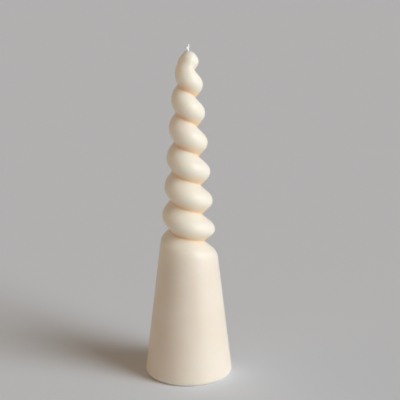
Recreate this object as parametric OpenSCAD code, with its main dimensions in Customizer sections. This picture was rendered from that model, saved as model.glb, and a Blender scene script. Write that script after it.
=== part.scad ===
// Twisted horn candle. A tapered wax foot runs up into a horn with one helical groove, cast in one
// piece round a plaited cotton wick. A second, smaller pour levels the base where the first one sank.
// Millimetres, +Z up, origin at the centre of the base. The wick's flat side faces -Y.

/* [Foot] */
// Diameter that the foot's side would have at the table, without its rounded edge
base_d = 55; // [44:0.5:70]
// Height of the shoulder, where the lowest groove crosses the +X side
shoulder_h = 85.1; // [60:0.1:110]
// Diameter at the shoulder
shoulder_d = 34.8; // [30:0.1:42]
// Rounding of the bottom edge
edge_round = 3; // [0.8:0.1:5]

/* [Horn] */
// Height of the horn above the shoulder
horn_h = 118.8; // [90:0.1:150]
// Diameter that the rolls taper to at the tip, before the dome closes it
tip_d = 15.1; // [12:0.1:22]
// Height over which the tip rounds in to its top
dome_h = 41; // [20:0.5:50]
// Sideways shift of the top towards +X
tip_shift = 1; // [0:0.1:3]

/* [Groove] */
// Turns that the groove makes in the height of the horn
turns = 6.53; // [4:0.01:9]
// Share of its full depth that the groove has at its faint start
faint_start = 0.45; // [0:0.05:0.8]
// Turns over which the faint start comes in below the top
faint_run = 0.15; // [0.05:0.01:0.5]
// Turns below the top that keep the faint start, before the groove deepens
plain_turns = 0.27; // [0:0.01:0.6]
// Turns over which the groove deepens to its full depth
run_in = 0.28; // [0.2:0.01:1]
// Turns over which the groove dies out past the shoulder
run_out = 0.3; // [0.1:0.01:0.5]
// Diameter left under the groove at the shoulder
core_low_d = 21.8; // [14:0.1:26]
// Diameter left under the groove at the tip
core_tip_d = 7.8; // [6:0.1:11]
// Sideways shift of what is left under the groove, which makes the groove deeper on the +X side
core_shift = 0.85; // [0:0.05:1.5]
// Bluntness of the crease at the bottom of the groove, as the power of a sine
crease_power = 1.45; // [1.2:0.05:2.5]
// Rise of that power where the groove gets shallow
fade_softness = 0.7; // [0:0.1:3]
// Fullness of the rolls between the creases
roll_fullness = 0.25; // [0:0.01:0.6]
// Fullness of the shoulder below the lowest pass of the groove
shoulder_fullness = 0.41; // [0:0.01:0.6]
// Height of the shoulder's curve, as a multiple of the other rolls' lower halves
shoulder_stretch = 1.25; // [1:0.01:1.9]
// Drop of the groove towards the tip
tip_sink = 4; // [0:0.1:6]
// Rise of the groove in its last half turn
end_lift = 1.5; // [0:0.1:3]

/* [Base pour] */
// Width of the flat ring that the casting keeps round the levelling pour
ring_w = 5; // [2:0.5:10]
// Depth of the pour at its rim
pour_rim_h = 1.6; // [0.8:0.1:4]
// Depth of the sink round the wick
pour_h = 10; // [6:0.5:20]
// Diameter of the sink at its deepest
throat_d = 4; // [3:0.1:8]

/* [Wick] */
// Diameter of one strand of the plait
strand_d = 0.5; // [0.4:0.01:0.7]
// Gap between strands where they cross
strand_gap = 0.08; // [0.08:0.01:0.12]
// Height in which a strand crosses over and comes back
plait_h = 9; // [7:0.5:12]
// Gap between the plait and the wall of its channel
channel_gap = 0.05; // [0.03:0.01:0.2]
// Depth of the wick's cut end inside the base
wick_inset = 0.4; // [0.2:0.1:2]
// Wick that stands above the wax
wick_free_h = 4; // [2:0.5:10]
// Sideways lean of the wick's end towards +X
wick_lean = 0.4; // [0:0.1:2]

/* [Hidden] */
$fn = 96;

base_r = base_d / 2;
shoulder_r = shoulder_d / 2;
wax_h = shoulder_h + horn_h;
pitch = horn_h / turns;
dome_z = wax_h - dome_h;
// Power of the curve that rounds the tip in
dome_power = 6;

// Lowest height that the shoulder's curve reaches, where the plain foot ends
join_z = shoulder_h + end_lift - pitch * (run_out + shoulder_stretch / 2);
// The horn starts this far inside the side of the foot, and is back in line with it one turn above join_z
join_step = 0.15;
// Height of the horn's start inside the foot
join_lap = 2;

// The foot's side leans in, and its rounded edge touches both that side and the base
side_lean = atan((base_r - shoulder_r) / shoulder_h);
edge_r = base_r - edge_round * (tan(side_lean) + 1 / cos(side_lean));
edge_steps = 8;

// The sink's dish turns into its funnel at these shares of its radius and of its depth past the rim
pour_r = edge_r - ring_w;
dish_r = pour_r * 0.5;
dish_h = pour_rim_h + (pour_h - pour_rim_h) * 0.3;

// A plait of three strands: each swings from side to side once, and front to back twice, in one plait_h
strands = 3;
plait_t = (strand_d + strand_gap) / sqrt(3);
plait_w = 2 * plait_t;
channel_d = 2 * plait_w + strand_d + 2 * channel_gap;
// The channel's cut runs past the wax by this much at both ends
channel_over = 1;
wick_top_z = wax_h + wick_free_h;

// Steps of the horn's mesh and of the strands
columns = 28;
rings_per_turn = 22;
dome_rings = 54;
strand_sides = 6;
rings_per_plait = 12;

wax_colour = "#efe2ce";
pour_colour = "#e9dbc5";
wick_colour = "#f3f1ea";

function mix(a, b, t) = a + (b - a) * t;
function clamp01(t) = max(0, min(1, t));
function ease(t) = let (c = clamp01(t)) c * c * (3 - 2 * c);

// Share of the horn's height at z, 0 at the shoulder and 1 at the tip
function rise(z) = (z - shoulder_h) / horn_h;

// Radius that the foot's side and the horn's rolls reach at height z
function reach(z) =
    z < shoulder_h
        ? mix(base_r, shoulder_r, z / shoulder_h)
        : mix(shoulder_r, tip_d / 2, rise(z));

// Radius left at the bottom of the groove at height z, in the direction of turn
function core(z, turn) = mix(core_low_d, core_tip_d, rise(z)) / 2 - core_shift * cos(turn);

// Share of the dome's height at z, and the share of the radius that the dome leaves there
function dome_rise(z) = clamp01((z - dome_z) / dome_h);
function dome_share(z) = sqrt(max(0, 1 - pow(dome_rise(z), dome_power)));

// The groove is counted in turns along its length, 0 where it crosses +X at the shoulder and negative above.
// It drops towards the tip, and rises from half a turn above the shoulder on.
function groove_at(z) =
    let (near_end = clamp01(2 * (shoulder_h - z) / pitch + 1))
    (shoulder_h - z - tip_sink * pow(dome_rise(z), 2) + end_lift * pow(near_end, 2)) / pitch;

// Share of the groove's full depth at a place along it: faint at the tip, then full, then dying out
function groove_share(along) =
    let (start = faint_start * ease((along + turns) / faint_run))
    mix(start, 1, ease((along + turns - plain_turns) / run_in)) * (1 - ease(along / run_out));

// Depth of the groove at a place along it, and off turns above or below it: one less a power of a sine,
// whose angle runs ahead by a second sine, so that the crease is narrow and the roll beside it full
function groove_cut(along, off, fullness) =
    let (
        share = groove_share(along),
        part = min(0.5, off),
        angle = 180 * part + 90 / PI * fullness * sin(360 * part)
    )
    share * (1 - pow(sin(angle), crease_power + fade_softness * (1 - share)));

// Radius of the horn at height z, a share of a turn past the groove. Of the passes above and below, the one
// that cuts deeper counts. Below the lowest pass, last is 1 and the flank is the shoulder.
function horn_radius(z, past) =
    let (
        below = groove_at(z) + past,
        last = ease(2 * below),
        stretch = mix(1, shoulder_stretch, last),
        fullness = mix(roll_fullness, shoulder_fullness, last),
        from_above = groove_cut(below - 1, (1 - past) / stretch, fullness),
        from_below = groove_cut(below, past, roll_fullness),
        cut = max(from_above, from_below)
    )
    dome_share(z) * mix(reach(z), core(z, 360 * below), cut) - join_step * (1 - ease((z - join_z) / pitch));

// One ring of the horn, which starts at the bottom of the groove and turns with it
function horn_ring(z) = [
    for (i = [0 : columns - 1])
        let (
            past = i / columns,
            turn = 360 * (groove_at(z) + past),
            radius = horn_radius(z, past)
        )
        [tip_shift * pow(dome_rise(z), 2) + radius * cos(turn), radius * sin(turn), z]
];

// Faces of a tube of rings with count points each, from the first ring's cap to the last ring
function tube_faces(rings, count) = concat(
    [[for (i = [0 : count - 1]) i]],
    [
        for (ring = [0 : rings - 2], i = [0 : count - 1], half = [0, 1])
            let (
                low = ring * count,
                high = low + count,
                next = (i + 1) % count
            )
            half == 0
                ? [low + i, high + next, low + next]
                : [low + i, high + i, high + next]
    ]
);

// The last ring closed by a point that follows it in the list, and closed flat
function point_faces(rings, count) = [
    for (i = [0 : count - 1])
        [(rings - 1) * count + i, rings * count, (rings - 1) * count + (i + 1) % count]
];
function flat_faces(rings, count) = [[for (i = [count - 1 : -1 : 0]) (rings - 1) * count + i]];

module horn() {
    straight_rings = round((dome_z - join_z) / pitch * rings_per_turn);
    heights = concat(
        [join_z - join_lap],
        [for (i = [0 : straight_rings - 1]) mix(join_z, dome_z, i / straight_rings)],
        [for (i = [0 : dome_rings - 1]) dome_z + dome_h * sin(90 * i / dome_rings)]
    );
    points = concat([for (z = heights) each horn_ring(z)], [[tip_shift, 0, wax_h]]);
    rings = len(heights);
    faces = concat(tube_faces(rings, columns), point_faces(rings, columns));
    polyhedron(points, faces, convexity = 10);
}

// Flat base, rounded bottom edge and straight side up to the horn
module foot() {
    rounded = [
        for (i = [0 : edge_steps])
            let (angle = mix(-90, side_lean, i / edge_steps))
            [edge_r + edge_round * cos(angle), edge_round + edge_round * sin(angle)]
    ];
    rotate_extrude() polygon(concat([[0, 0]], rounded, [[reach(join_z), join_z], [0, join_z]]));
}

// The sink that the first pour leaves in the base: a shallow dish with a funnel round the wick
module sink() {
    rotate_extrude()
        polygon([
            [0, 0],
            [pour_r, 0],
            [pour_r, pour_rim_h],
            [dish_r, dish_h],
            [throat_d / 2, pour_h],
            [0, pour_h]
        ]);
}

module wick_channel() {
    translate([0, 0, -channel_over]) cylinder(d = channel_d, h = wax_h + 2 * channel_over);
}

module wax_body() {
    color(wax_colour)
        difference() {
            union() {
                foot();
                horn();
            }
            sink();
            wick_channel();
        }
}

module base_pour() {
    color(pour_colour)
        difference() {
            sink();
            wick_channel();
        }
}

// Centre of a strand at height z; the free end leans over in a curve
function strand_centre(number, z) =
    let (
        swing = 360 * (z / plait_h + number / strands),
        free = clamp01((z - wax_h) / wick_free_h)
    )
    [plait_w * sin(swing) + wick_lean * free * free, plait_t * sin(2 * swing), z];

module wick_strand(number) {
    rings = round((wick_top_z - wick_inset) / plait_h * rings_per_plait) + 1;
    points = [
        for (ring = [0 : rings - 1], side = [0 : strand_sides - 1])
            let (
                z = mix(wick_inset, wick_top_z, ring / (rings - 1)),
                angle = 360 * side / strand_sides
            )
            strand_centre(number, z) + strand_d / 2 * [cos(angle), sin(angle), 0]
    ];
    faces = concat(tube_faces(rings, strand_sides), flat_faces(rings, strand_sides));
    color(wick_colour) polyhedron(points, faces, convexity = 10);
}

wax_body();
base_pour();
wick_strand(1);  // wick_strand_1
wick_strand(2);  // wick_strand_2
wick_strand(3);  // wick_strand_3
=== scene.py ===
"""Twisted horn candle: a plaited cotton wick, the wax cast round it, and the pour that levels its base.

Every piece is worked out in millimetres and put into its mesh in metres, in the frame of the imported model.
"""

import bpy
import numpy as np
from mathutils import Matrix, Vector


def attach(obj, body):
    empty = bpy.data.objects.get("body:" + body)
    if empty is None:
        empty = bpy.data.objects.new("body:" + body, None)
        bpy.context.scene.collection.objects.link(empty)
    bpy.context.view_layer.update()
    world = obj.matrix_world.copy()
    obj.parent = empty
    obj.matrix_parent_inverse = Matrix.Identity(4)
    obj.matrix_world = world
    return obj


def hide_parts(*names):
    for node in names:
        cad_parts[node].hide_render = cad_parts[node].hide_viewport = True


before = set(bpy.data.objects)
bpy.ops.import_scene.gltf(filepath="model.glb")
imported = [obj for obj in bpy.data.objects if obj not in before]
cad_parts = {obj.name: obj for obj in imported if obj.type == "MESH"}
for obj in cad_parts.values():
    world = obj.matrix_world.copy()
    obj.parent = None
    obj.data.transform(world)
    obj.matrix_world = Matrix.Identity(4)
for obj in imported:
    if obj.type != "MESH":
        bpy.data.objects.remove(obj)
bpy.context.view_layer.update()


# Wick. Three strands of bleached cotton yarn, plaited flat and primed with wax so that they stand up.
# The plait hangs in the mould before the wax goes in, and scissors trim it a few millimetres above the tip.

mm = 0.001
wax_top = 203.9
wick_free = 4.0
wick_lean = 0.4
wick_inset = 0.4
cut_z = wax_top + wick_free
cut_slope = 0.1
cut_share = np.array([0.9, 0.62, 0.3])
end_pinch = 0.2
strand_d = 0.5
strand_gap = 0.08
plait_h = 9.0
plait_t = (strand_d + strand_gap) / np.sqrt(3)
plait_w = 2 * plait_t
yarn_w = 1.2
yarn_t = 1.02
plies = 5
ply_columns = 6
ply_turn_h = 3.4
ply_valley_depth = 0.09
ply_valley_power = 1.5
buried_row_h = 0.34
fine_z = wax_top - 1
fine_rows = 56
stray_count = 16
stray_rows = 6
stray_sides = 4
stray_reach = (0.08, 0.26)
stray_rise = (0.05, 0.22)
stray_start = (0.2, 0.9)
stray_root = 0.12
stray_bow = 2.2
stray_r = 0.016
stray_taper = 0.85
soak_h = 1.6
fibre_stretch = 0.25
strand_offset = 7
cotton_white = (0.98, 0.98, 0.975, 1)
# The next colour paints shade into the valleys between the plies.
cotton_valley_shade = (0.955, 0.95, 0.935, 1)
cotton_waxed = (0.90, 0.83, 0.72, 1)
# How much painted shade the ply valleys get, and how much tone the tufts add:
valley_shade_tint = 0.75
tuft_tint = 0.5
soaked_tint = 0.12
cotton_roughness = 0.72
soaked_gloss = 0.25
tuft_roughness = 0.2


def round_angles(count):
    """This many angles, spaced evenly round a circle."""
    return 2 * np.pi * np.arange(count) / count


def ring_faces(rows, columns):
    """Quads of a tube whose points are counted row by row: each joins two neighbours round a row to the same
    two in the next row."""
    row = np.arange(rows - 1)[:, None] * columns
    column = np.arange(columns)[None, :]
    beside = (column + 1) % columns
    corners = [row + column, row + beside, row + columns + beside, row + columns + column]
    return np.stack(corners, -1).reshape(-1, 4)


def pole_faces(row_start, columns, pole, last):
    """Triangles from a pole to all of one row: a tube's last row, or its first row turned the other way."""
    column = row_start + np.arange(columns)
    beside = row_start + (np.arange(columns) + 1) % columns
    tip = np.full(columns, pole)
    return np.stack([column, beside, tip] if last else [beside, column, tip], -1)


def closed_tube(grid, first_pole, last_pole):
    """Points, quads and triangles of a tube given as rows of points, closed by a pole at each end."""
    rows, columns = grid.shape[:2]
    points = np.concatenate([grid.reshape(-1, 3), [first_pole], [last_pole]])
    poles = [
        pole_faces(0, columns, rows * columns, False),
        pole_faces((rows - 1) * columns, columns, rows * columns + 1, True),
    ]
    return points, ring_faces(rows, columns), np.concatenate(poles)


def mesh_piece(name, points, quads, triangles, marks):
    """A smooth object from points in millimetres. Each mark keeps one number, or three, at every point."""
    mesh = bpy.data.meshes.new(name)
    mesh.from_pydata((points * mm).tolist(), [], quads.tolist() + triangles.tolist())
    mesh.polygons.foreach_set("use_smooth", np.ones(len(mesh.polygons), bool))
    for mark, values in marks.items():
        wide = values.ndim == 2
        kept = mesh.attributes.new(mark, "FLOAT_VECTOR" if wide else "FLOAT", "POINT")
        kept.data.foreach_set("vector" if wide else "value", values.astype(np.float32).ravel())
    mesh.validate()
    piece = bpy.data.objects.new(name, mesh)
    bpy.context.scene.collection.objects.link(piece)
    return piece


class Shade:
    """One socket of a node tree. Arithmetic on it adds Math nodes, and add() makes any other node."""

    def __init__(self, tree, socket=None):
        self.tree = tree
        self.socket = socket

    def add(self, kind, settings, sockets, out=0):
        """A node of this kind, with its settings first and then the values or links of its sockets."""
        node = self.tree.nodes.new(kind)
        for key, value in settings.items():
            setattr(node, key, value)
        for key, value in sockets.items():
            if isinstance(value, Shade):
                self.tree.links.new(value.socket, node.inputs[key])
            else:
                node.inputs[key].default_value = value
        return Shade(self.tree, node.outputs[out] if len(node.outputs) else None)

    def maths(self, operation, first, second):
        """A Math node on two numbers or links."""
        return self.add("ShaderNodeMath", {"operation": operation}, {0: first, 1: second})

    def __add__(self, other):
        return self.maths("ADD", self, other)

    def __radd__(self, other):
        return self.maths("ADD", other, self)

    def __sub__(self, other):
        return self.maths("SUBTRACT", self, other)

    def __rsub__(self, other):
        return self.maths("SUBTRACT", other, self)

    def __mul__(self, other):
        return self.maths("MULTIPLY", self, other)

    def __rmul__(self, other):
        return self.maths("MULTIPLY", other, self)

    def between(self, low, high):
        """0 below low, 1 above high, and a smooth step between them."""
        settings = {"interpolation_type": "SMOOTHSTEP"}
        return self.add("ShaderNodeMapRange", settings, {"Value": self, "From Min": low, "From Max": high})

    def blend(self, first, second):
        """The first colour where this value is 0, and the second where it is 1."""
        return self.add("ShaderNodeMix", {"data_type": "RGBA"}, {0: self, 6: first, 7: second}, out=2)

    def noise(self, scale, detail, roughness):
        """Cloudy values from 0 to 1 on these coordinates, with scale clouds to each unit of length."""
        sockets = {"Vector": self, "Scale": scale, "Detail": detail, "Roughness": roughness}
        return self.add("ShaderNodeTexNoise", {}, sockets, out="Fac")

    def mark(self, name, out="Fac"):
        """What the mesh keeps under this mark, or 0 where it has none."""
        return self.add("ShaderNodeAttribute", {"attribute_name": name}, {}, out)

    def bump(self, strength, distance, height):
        """The normal tilted by this height, of which 1 stands for the distance in metres."""
        sockets = {"Strength": strength, "Distance": distance, "Height": height}
        return self.add("ShaderNodeBump", {}, sockets, out="Normal")


def new_material(name):
    """An empty material, and the Shade that adds nodes to it."""
    material = bpy.data.materials.new(name)
    material.use_nodes = True
    material.node_tree.nodes.clear()
    return material, Shade(material.node_tree)


def free_share(height):
    """0 in the wax and 1 at the wick's cut end, in proportion to the height between them."""
    return np.clip((height - wax_top) / wick_free, 0, 1)


def strand_centre(number, height):
    """Middle of a strand: it swings from side to side once, and front to back twice, in each plait height.
    Above the wax the whole plait leans towards +X with the square of its free height, and the fingers that
    trimmed it have pinched its end together."""
    swing = 2 * np.pi * (height / plait_h + number / 3)
    free = free_share(height)
    across = plait_w * (1 - end_pinch * np.sqrt(free)) * np.sin(swing)
    return np.stack([across + wick_lean * free ** 2, plait_t * np.sin(2 * swing), height], -1)


def ply_valley(ply_angle):
    """0 on the crown of each ply and 1 in the valley between two, by the size of a cosine."""
    return 1 - np.abs(np.cos(plies / 2 * ply_angle))


def strand_rows(number, height, share, ply_angle):
    """Rows of points round a strand, square to its path. The radius dips between the plies, whose columns
    turn with the height, and share shrinks it towards a cut end."""
    step = 0.01
    tangent = strand_centre(number, height + step) - strand_centre(number, height - step)
    tangent /= np.linalg.norm(tangent, axis=1, keepdims=True)
    side = np.cross(np.array([0.0, 1.0, 0.0]), tangent)
    side /= np.linalg.norm(side, axis=1, keepdims=True)
    front = np.cross(tangent, side)
    angle = ply_angle[None, :] + 2 * np.pi * height[:, None] / ply_turn_h
    valley = ply_valley(ply_angle) ** ply_valley_power
    swell = share[:, None] * (1 - ply_valley_depth * valley[None, :])
    across = yarn_w / 2 * swell * np.cos(angle)
    through = yarn_t / 2 * swell * np.sin(angle)
    middle = strand_centre(number, height)[:, None, :]
    return middle + across[..., None] * side[:, None, :] + through[..., None] * front[:, None, :]


def slanted(points):
    """Shears the free end downwards on its -X side, so that the scissors' cut slopes."""
    free = free_share(points[..., 2])
    drop = cut_slope * (plait_w + strand_d / 2 + wick_lean * free ** 2 - points[..., 0])
    return points - np.stack([0 * drop, 0 * drop, free ** 3 * drop], -1)


def stray_fibres(number):
    """Rings of points on short fibres at the cut end: each starts inside the end of its strand, rises by
    part of a sine, bends outwards with the square of its length, and thins towards its tip."""
    dice = np.random.default_rng(number)
    spread = dice.uniform(0, 2 * np.pi, stray_count)
    reach = dice.uniform(*stray_reach, stray_count)
    rise = dice.uniform(*stray_rise, stray_count)
    start = strand_d / 2 * np.sqrt(dice.uniform(*stray_start, stray_count))
    along = np.linspace(0, 1, stray_rows)
    out = start[:, None] + reach[:, None] * along ** 2
    up = rise[:, None] * np.sin(stray_bow * along) - stray_root
    path = np.stack([np.cos(spread)[:, None] * out, np.sin(spread)[:, None] * out, up], -1)
    path = path + strand_centre(number, np.array([cut_z]))[0]
    turn = round_angles(stray_sides)
    ring = np.stack([np.cos(turn), np.sin(turn), 0 * turn], -1)
    thick = stray_r * (1 - stray_taper * along)
    return path[:, :, None, :] + thick[None, :, None, None] * ring[None, None, :, :]


strand_heights = np.concatenate([
    np.full(len(cut_share), wick_inset),
    np.arange(wick_inset, fine_z, buried_row_h),
    np.linspace(fine_z, cut_z, fine_rows),
    np.full(len(cut_share), cut_z),
])
strand_share = np.ones(len(strand_heights))
strand_share[:len(cut_share)] = cut_share[::-1]
strand_share[-len(cut_share):] = cut_share
ply_angle = round_angles(plies * ply_columns)
stray_ring = np.arange(stray_sides)
one_stray = np.concatenate([
    ring_faces(stray_rows, stray_sides),
    [stray_ring[::-1]],
    [(stray_rows - 1) * stray_sides + stray_ring],
])

waxed_cotton, shade = new_material("waxed_cotton")
valley = shade.mark("ply_valley")
soaked = shade.mark("soaked")
fibres = shade.mark("yarn", "Vector").noise(scale=9, detail=4, roughness=0.6)
tufts = fibres - 0.5
# Painted shade: the valleys between the plies are made darker.
cotton = (valley * valley_shade_tint + tufts * tuft_tint).between(0, 1).blend(cotton_white, cotton_valley_shade)
cotton_surface = shade.add("ShaderNodeBsdfPrincipled", {}, {
    "Base Color": (soaked * soaked_tint).blend(cotton, cotton_waxed),
    "Roughness": cotton_roughness - soaked * soaked_gloss + tufts * tuft_roughness,
    "Subsurface Weight": 0.5,
    "Subsurface Radius": (1.0, 1.0, 1.0),
    "Subsurface Scale": 0.0002,
    "Sheen Weight": 1.0,
    "Normal": shade.bump(strength=0.7, distance=0.00004, height=fibres),
})
shade.add("ShaderNodeOutputMaterial", {}, {"Surface": cotton_surface})

for number in (1, 2, 3):
    rows = strand_rows(number, strand_heights, strand_share, ply_angle)
    ends = strand_centre(number, np.array([wick_inset, cut_z]))
    points, quads, triangles = closed_tube(slanted(rows), ends[0], slanted(ends[1]))
    stray_starts = len(points) + np.arange(stray_count) * stray_rows * stray_sides
    quads = np.concatenate([quads, (stray_starts[:, None, None] + one_stray).reshape(-1, 4)])
    points = np.concatenate([points, slanted(stray_fibres(number)).reshape(-1, 3)])
    ply_of_point = np.zeros(len(points))
    ply_of_point[:len(rows) * len(ply_angle)] = np.tile(ply_angle, len(rows))
    along_yarn = points[:, 2] * fibre_stretch + number * strand_offset
    # ply_valley marks the valleys between the plies, which the material paints darker as shade.
    strand = mesh_piece(f"wick_cotton_{number}", points, quads, triangles, {
        "yarn": np.stack([np.cos(ply_of_point), np.sin(ply_of_point), along_yarn], -1),
        "ply_valley": ply_valley(ply_of_point),
        "soaked": np.clip(1 - (points[:, 2] - wax_top) / soak_h, 0, 1),
    })
    strand.data.materials.append(waxed_cotton)
    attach(strand, "root")
    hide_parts(f"wick_strand_{number}")


# Wax casting. A blend of soft plant waxes, cast upside down round the wick in a flexible mould.
# The mould gives it a plain tapered foot and a horn with one left-hand groove; the tip is a soft curl.

base_r = 27.5
shoulder_h = 85.1
shoulder_r = 17.4
edge_round = 3.0
horn_h = 118.8
tip_r = 7.55
dome_h = 41.0
dome_power = 6.0
dome_z = wax_top - dome_h
tip_shift = 1.0
turns = 6.53
pitch = horn_h / turns
plain_turns = 0.27
run_in = 0.28
faint_start = 0.45
faint_run = 0.15
run_out = 0.3
core_low_r = 10.9
core_tip_r = 3.9
core_shift = 0.85
groove_edge = 1.45
fade_softness = 0.7
roll_fullness = 0.25
shoulder_fullness = 0.41
shoulder_stretch = 1.25
tip_sink = 4.0
end_lift = 1.5
join_z = shoulder_h + end_lift - pitch * (run_out + shoulder_stretch / 2)
side_lean = np.arctan((base_r - shoulder_r) / shoulder_h)
edge_r = base_r - edge_round * (np.tan(side_lean) + 1 / np.cos(side_lean))
ring_w = 5.0
sink_r = edge_r - ring_w
sink_h = 10.0
sink_rim_h = 1.6
sink_knee_z = sink_rim_h + 0.3 * (sink_h - sink_rim_h)
throat_r = 2.0
roof_r = 0.5
lip_round = 0.25
lip_w = 0.6
wave_h = 0.035
climb_h = 0.2
climb_fade = 0.5
cap_z = dome_z + 0.92 * dome_h
cap_search_z = dome_z + 0.85 * dome_h
cap_halvings = 36
wax_columns = 184
ring_rows = 5
edge_rows = 12
foot_rows = 60
horn_rows = 402
cap_rows = 36
underside_power = 1.3
crease_share = 0.7
crease_power = 9
head_z = 186.0
head_fade = 6.0
ivory_wax = (0.863, 0.764, 0.640, 1)
pale_wax = (0.880, 0.792, 0.682, 1)
# The next colour paints warm, darker shade into the creases and under the rolls; it also tints the pour's
# seam.
crease_shade_and_seam_wax = (0.88, 0.65, 0.38, 1)
frost_wax = (0.900, 0.827, 0.730, 1)
# The next colour is a lighter copy of the wax, painted on the horn for light that shines through its thin
# rolls.
horn_wax = (0.955, 0.856, 0.738, 1)
# How strongly the painted light on the horn and the painted crease shade are laid on:
horn_tint = 0.9
crease_shade_and_seam_tint = 0.85
wax_roughness = 0.40
cloud_roughness = 0.12
bloom_roughness = 0.12
crystal_bump = 0.25
grain_bump = 0.12
cast_frosting = 0.5
cast_scatter = 0.0055


def ease(share):
    """0 to 1 in a smooth step: three squares less two cubes."""
    share = np.clip(share, 0, 1)
    return share * share * (3 - 2 * share)


def dome_share(height):
    """0 below the dome and 1 at its top, in proportion to the height between them."""
    return np.clip((height - dome_z) / dome_h, 0, 1)


def tip_drift(height):
    """How far the dome's middle has moved towards +X: with the square of its height."""
    return tip_shift * dome_share(height) ** 2


def groove_share(along):
    """Share of its full depth that the groove has at a place along it, counted in turns down from the
    shoulder: it starts faintly at the tip, eases in to its full depth below it, and eases out past the
    shoulder."""
    start = faint_start * ease((along + turns) / faint_run)
    full = ease((along + turns - plain_turns) / run_in)
    return (start + (1 - start) * full) * (1 - ease(along / run_out))


def groove_cut(along, off, fullness):
    """Depth of the groove at a place along it, and at this part of a turn above or below it: one less a
    power of a sine, whose angle runs ahead by a second sine, so that the crease is narrow and the roll
    beside it is full. Where the groove gets shallow the power rises, and the crease turns into a saddle."""
    share = groove_share(along)
    off = np.clip(off, 0, 0.5)
    angle = np.pi * off + fullness / 2 * np.sin(2 * np.pi * off)
    return share * (1 - np.sin(angle) ** (groove_edge + fade_softness * (1 - share)))


def groove_passes(turn, height):
    """Shares of the way from the rolls to the core that the groove's passes above and below a point cut, at
    an angle round the axis and a height. The groove falls by one pitch in each turn. The flank below the
    lowest pass is longer, and makes the shoulder."""
    near_end = np.clip(2 * (shoulder_h - height) / pitch + 1, 0, 1)
    level = (shoulder_h - height - tip_sink * dome_share(height) ** 2 + end_lift * near_end ** 2) / pitch
    past = (turn / (2 * np.pi) - level) % 1
    last = ease(2 * (level + past))
    stretch = 1 + (shoulder_stretch - 1) * last
    fullness = roll_fullness + (shoulder_fullness - roll_fullness) * last
    above = groove_cut(level + past - 1, (1 - past) / stretch, fullness)
    below = groove_cut(level + past, past, roll_fullness)
    return above, below


def wax_radius(turn, height):
    """Radius of the wax: two straight tapers meet at the shoulder, the pass of the groove that cuts deeper
    cuts towards a core that sits slightly off the axis, and a dome closes the tip. Slow waves of a few
    hundredths of a millimetre, three sines of the angle and the height, keep it from being perfect."""
    rise = (height - shoulder_h) / horn_h
    foot = base_r + (shoulder_r - base_r) * height / shoulder_h
    rolls = np.where(height < shoulder_h, foot, shoulder_r + (tip_r - shoulder_r) * rise)
    core = core_low_r + (core_tip_r - core_low_r) * rise - core_shift * np.cos(turn)
    dome = np.sqrt(np.clip(1 - dome_share(height) ** dome_power, 0, 1))
    waves = np.sin(2 * turn + height / 17)
    waves = waves + 0.7 * np.sin(3 * turn - height / 11 + 1)
    waves = waves + 0.5 * np.sin(5 * turn + height / 6)
    depth = np.maximum(*groove_passes(turn, height))
    return dome * (rolls + (core - rolls) * depth + wave_h * waves)


def wax_ring(turn, height):
    """Points on the wax at angles round its drifting middle and at heights."""
    radius = wax_radius(turn, height)
    return np.stack([tip_drift(height) + radius * np.cos(turn), radius * np.sin(turn), height], -1)


def dome_height(x, y):
    """Height of the dome over a point near its top, found by halving: a point lies under the surface as long
    as it is inside the ring of wax at that height."""
    low = np.full(x.shape, cap_search_z)
    high = np.full(x.shape, wax_top)
    for _ in range(cap_halvings):
        middle = (low + high) / 2
        from_centre = x - tip_drift(middle)
        inside = np.hypot(from_centre, y) < wax_radius(np.arctan2(y, from_centre), middle)
        low = np.where(inside, middle, low)
        high = np.where(inside, high, middle)
    return (low + high) / 2


def turned(radius, height, columns):
    """Rows of points from a profile carried round the axis."""
    turn = round_angles(columns)
    radius = np.broadcast_to(radius[:, None], (len(radius), columns))
    height = np.broadcast_to(height[:, None], radius.shape)
    return np.stack([radius * np.cos(turn), radius * np.sin(turn), height], -1)


sink_profile_r = np.array([roof_r, throat_r, sink_r / 2, sink_r, sink_r, sink_r + lip_round])
sink_profile_z = np.array([sink_h, sink_h, sink_knee_z, sink_rim_h, lip_round, 0])
ring_profile_r = np.linspace(sink_r + lip_w, edge_r, ring_rows)
edge_angle = np.linspace(-np.pi / 2, side_lean, edge_rows)[1:]
edge_profile_r = edge_r + edge_round * np.cos(edge_angle)
edge_profile_z = edge_round + edge_round * np.sin(edge_angle)
foot_profile_r = np.concatenate([sink_profile_r, ring_profile_r, edge_profile_r])
foot_profile_z = np.concatenate([sink_profile_z, 0 * ring_profile_r, edge_profile_z])
side_heights = np.concatenate([
    np.linspace(edge_profile_z[-1], join_z, foot_rows)[1:],
    np.linspace(join_z, cap_z, horn_rows)[1:],
])
side = wax_ring(*np.meshgrid(round_angles(wax_columns), side_heights))
cap_shrink = 1 - np.linspace(0, 1, cap_rows)[1:-1, None]
cap_x = cap_shrink * side[-1, :, 0]
cap_y = cap_shrink * side[-1, :, 1]
from_plait = np.hypot(cap_x / (plait_w + strand_d / 2), cap_y / (plait_t + strand_d / 2))
climb = climb_h * np.exp(-np.clip(from_plait - 1, 0, None) / climb_fade)
cap = np.stack([cap_x, cap_y, dome_height(cap_x, cap_y) + climb], -1)
wax_grid = np.concatenate([turned(foot_profile_r, foot_profile_z, wax_columns), side, cap])
points, quads, triangles = closed_tube(wax_grid, [0, 0, sink_h], [0, 0, cap[-1, :, 2].mean()])

# Painted shade: the underside of a roll is tinted warmer and darker over most of its height, and the
# flank under a crease only beside it, as shade falls in the groove; the tint fades out on the head.
point_z = points[:, 2]
angle_of_point = np.arctan2(points[:, 1], points[:, 0] - tip_drift(point_z))
cut_above, cut_below = groove_passes(angle_of_point, point_z)
crease_shade_of_point = np.maximum(cut_below ** underside_power, crease_share * cut_above ** crease_power)
crease_shade_of_point = np.where(point_z > join_z, crease_shade_of_point, 0)
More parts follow.
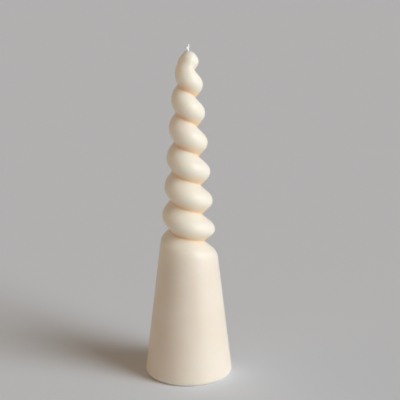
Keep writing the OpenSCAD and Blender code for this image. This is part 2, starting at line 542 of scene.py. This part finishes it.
# The marks carry the painted shade of the creases and the painted light of the horn.
wax = mesh_piece("wax_casting", points, quads, triangles, {
    "crease_shade_and_seam": crease_shade_of_point * (1 - ease((point_z - head_z) / head_fade)),
    "horn": ease((point_z - join_z) / pitch),
})


def wax_surface(shade, frosting, scatter):
    """Satin wax that light soaks into, to this depth in metres: slow clouds of tone, a bloom of fine
    crystals, a lighter tone painted on the horn for light that shines through its thin rolls, warm
    shade painted into the creases and under the rolls, a warm seam round the pour, pinholes left by air,
    and a grain too fine to see one by one."""
    place = shade.add("ShaderNodeTexCoord", {}, {}, out="Object")
    clouds = place.noise(scale=45, detail=3, roughness=0.5)
    crystals = place.noise(scale=420, detail=6, roughness=0.65)
    grain = place.noise(scale=1900, detail=3, roughness=0.6)
    bloom = (crystals * 0.7 + clouds * 0.6).between(0.62, 0.95)
    colour = clouds.between(0.3, 0.7).blend(ivory_wax, pale_wax)
    colour = (bloom * frosting).blend(colour, frost_wax)
    # Painted light: a lighter copy of the wax over the horn, for light that shines through its thin rolls.
    colour = (shade.mark("horn") * horn_tint).blend(colour, horn_wax)
    # Painted shade: a warm, darker tone in the creases and under the rolls, and on the pour's seam.
    colour = (shade.mark("crease_shade_and_seam") * crease_shade_and_seam_tint).blend(colour, crease_shade_and_seam_wax)
    cells = shade.add("ShaderNodeTexVoronoi", {}, {"Vector": place, "Scale": 160}, out="Distance")
    rare = place.noise(scale=70, detail=2, roughness=0.5).between(0.6, 0.7)
    pinhole = (1 - cells.between(0.03, 0.09)) * rare
    height = crystals * crystal_bump + grain * grain_bump - pinhole
    return shade.add("ShaderNodeBsdfPrincipled", {}, {
        "Base Color": colour,
        "Roughness": wax_roughness + (clouds - 0.5) * cloud_roughness + bloom * bloom_roughness,
        "Subsurface Weight": 1.0,
        "Subsurface Radius": (1.0, 0.82, 0.66),
        "Subsurface Scale": scatter,
        "Normal": shade.bump(strength=0.35, distance=0.0001, height=height),
    })


satin_wax, shade = new_material("satin_wax")
shade.add("ShaderNodeOutputMaterial", {}, {"Surface": wax_surface(shade, cast_frosting, cast_scatter)})
wax.data.materials.append(satin_wax)
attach(wax, "root")
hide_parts("wax_body")


# Levelling pour. As the casting cools it sinks round the wick, and a second, smaller pour of the same wax
# fills the hollow. It sets a hair below the rim, dips a little at the wick, and keeps the ripples of its
# own cooling.

pour_gap = 0.02
pour_roof_r = 0.6
pour_wall_z = 0.5
pour_edge_in = np.array([0.1, 0.35])
pour_face_in = 0.8
pour_middle_r = 0.25
set_depth = 0.12
wick_dip = 0.5
wick_dip_r = 1.6
broad_dip = 0.12
broad_dip_r = 6.0
rim_dip = 0.16
rim_dip_w = 0.5
ripple_h = 0.02
ripple_rate = 1.9
ripple_fade = 3
rim_line_w = 0.35
pour_columns = 128
pour_rows = 56
pour_frosting = 0.9
pour_scatter = 0.0012

wall_r = sink_r - pour_gap
hidden_r = np.array([pour_roof_r, throat_r, sink_r / 2, wall_r, wall_r])
hidden_z = np.array([sink_h, sink_h, sink_knee_z, sink_rim_h, pour_wall_z]) - pour_gap
face_r = np.linspace(sink_r - pour_face_in, pour_middle_r, pour_rows)
face_r = np.concatenate([sink_r - pour_edge_in, face_r])
from_rim = sink_r - face_r
dip = set_depth + wick_dip * np.exp(-(face_r / wick_dip_r) ** 2)
dip = dip + broad_dip * np.exp(-(face_r / broad_dip_r) ** 2)
dip = dip + rim_dip * np.exp(-from_rim / rim_dip_w)
pour_turn = round_angles(pour_columns)
sway = 0.8 * np.sin(3 * pour_turn) + 0.5 * np.sin(2 * pour_turn + 1)
ripple = ripple_h * np.sin(face_r[:, None] * ripple_rate + sway)
face = turned(face_r, dip, pour_columns)
face[..., 2] += ripple * np.clip(from_rim / ripple_fade, 0, 1)[:, None]
pour_grid = np.concatenate([turned(hidden_r, hidden_z, pour_columns), face])
points, quads, triangles = closed_tube(pour_grid, [0, 0, sink_h - pour_gap], [0, 0, face[-1, 0, 2]])
# The seam round the pour takes the same mark and colour that paint shade into the casting's creases.
rim_line = np.exp(-np.abs(sink_r - np.hypot(points[:, 0], points[:, 1])) / rim_line_w)
pour = mesh_piece("levelling_pour", points, quads[:, ::-1], triangles[:, ::-1], {"crease_shade_and_seam": rim_line})

poured_wax, shade = new_material("poured_wax")
shade.add("ShaderNodeOutputMaterial", {}, {"Surface": wax_surface(shade, pour_frosting, pour_scatter)})
pour.data.materials.append(poured_wax)
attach(pour, "root")
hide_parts("base_pour")


# Table. A plain pale sheet under the candle, wide enough to fill the picture behind it. It is not part of
# the object, and lies a hair under the base, so that the two faces are not in one plane.

floor_half = 9
floor_z = -0.00002
floor_corners = [(-1, -1), (1, -1), (1, 1), (-1, 1)]
sheet_white = (0.88, 0.925, 0.98, 1)

floor_mesh = bpy.data.meshes.new("table_top")
floor_points = [(x * floor_half, y * floor_half, floor_z) for x, y in floor_corners]
floor_mesh.from_pydata(floor_points, [], [(0, 1, 2, 3)])
floor = bpy.data.objects.new("table_top", floor_mesh)
bpy.context.scene.collection.objects.link(floor)
pale_sheet, shade = new_material("pale_sheet")
sheet_surface = shade.add("ShaderNodeBsdfPrincipled", {}, {
    "Base Color": sheet_white,
    "Roughness": 0.9,
    "Specular IOR Level": 0.0,
})
shade.add("ShaderNodeOutputMaterial", {}, {"Surface": sheet_surface})
floor_mesh.materials.append(pale_sheet)


# Light. Two soft keys, one above the other, stand for a tall window on the right and in front. A weak warm
# fill comes in low from the left. The room is dim and warm, and shows only as a plain grey backdrop above
# the table's far edge.

window_light = (0.90, 0.95, 1.0)
window_spread = 36
fill_light = (1.0, 0.70, 0.43)
fill_spread = 60
room_light = (0.187, 0.147, 0.110, 1)
backdrop_grey = (0.42, 0.42, 0.42, 1)


def soft_sun(name, azimuth, elevation, strength, spread, colour):
    """A far lamp at an azimuth, counted from the camera's side towards the right, and an elevation. It looks
    as wide as its spread. All three are in degrees."""
    turn = np.radians(azimuth)
    lift = np.radians(elevation)
    toward = Vector((np.sin(turn) * np.cos(lift), -np.cos(turn) * np.cos(lift), np.sin(lift)))
    lamp = bpy.data.lights.new(name, "SUN")
    lamp.energy = strength
    lamp.angle = np.radians(spread)
    lamp.color = colour
    holder = bpy.data.objects.new(name, lamp)
    holder.matrix_world = toward.to_track_quat("Z", "Y").to_matrix().to_4x4()
    bpy.context.scene.collection.objects.link(holder)


soft_sun("low_key", azimuth=54, elevation=14, strength=1.80, spread=window_spread, colour=window_light)
soft_sun("high_key", azimuth=62, elevation=32, strength=1.05, spread=window_spread, colour=window_light)
soft_sun("warm_fill", azimuth=-92, elevation=6, strength=0.55, spread=fill_spread, colour=fill_light)

room = bpy.data.worlds.new("warm_room")
room.use_nodes = True
room.node_tree.nodes.clear()
shade = Shade(room.node_tree)
seen, mirrored, passed = [
    shade.add("ShaderNodeLightPath", {}, {}, out=ray)
    for ray in ("Is Camera Ray", "Is Glossy Ray", "Is Transmission Ray")
]
backdrop = (seen + mirrored + passed).blend(room_light, backdrop_grey)
room_surface = shade.add("ShaderNodeBackground", {}, {"Color": backdrop})
shade.add("ShaderNodeOutputWorld", {}, {"Surface": room_surface})
bpy.context.scene.world = room
bpy.context.scene.view_settings.view_transform = "Standard"


# Camera. It stands 0.7 m in front of the candle, a little above its tip, and looks down at its middle.
# It is turned and rolled by about half a degree, and its lens is given in pixels of the picture.

camera_place = Vector((0, -0.7, 0.28576))
camera_aim = Vector((0, 0, 0.11224))
camera_yaw = -0.01025
camera_roll = -0.0054
focal_pixels = 1172.1
picture_pixels = 400
sensor_mm = 36

forward = (camera_aim - camera_place).normalized()
right = forward.cross(Vector((0, 0, 1))).normalized()
upward = right.cross(forward)
turned_forward = forward * np.cos(camera_yaw) - right * np.sin(camera_yaw)
turned_right = right * np.cos(camera_yaw) + forward * np.sin(camera_yaw)
rolled_right = turned_right * np.cos(camera_roll) + upward * np.sin(camera_roll)
rolled_up = upward * np.cos(camera_roll) - turned_right * np.sin(camera_roll)
camera_data = bpy.data.cameras.new("camera")
camera_data.sensor_width = sensor_mm
camera_data.lens = focal_pixels * sensor_mm / picture_pixels
camera_data.clip_start = 0.01
camera = bpy.data.objects.new("camera", camera_data)
facing = Matrix((rolled_right, rolled_up, -turned_forward)).transposed().to_4x4()
camera.matrix_world = Matrix.Translation(camera_place) @ facing
bpy.context.scene.collection.objects.link(camera)
bpy.context.scene.camera = camera
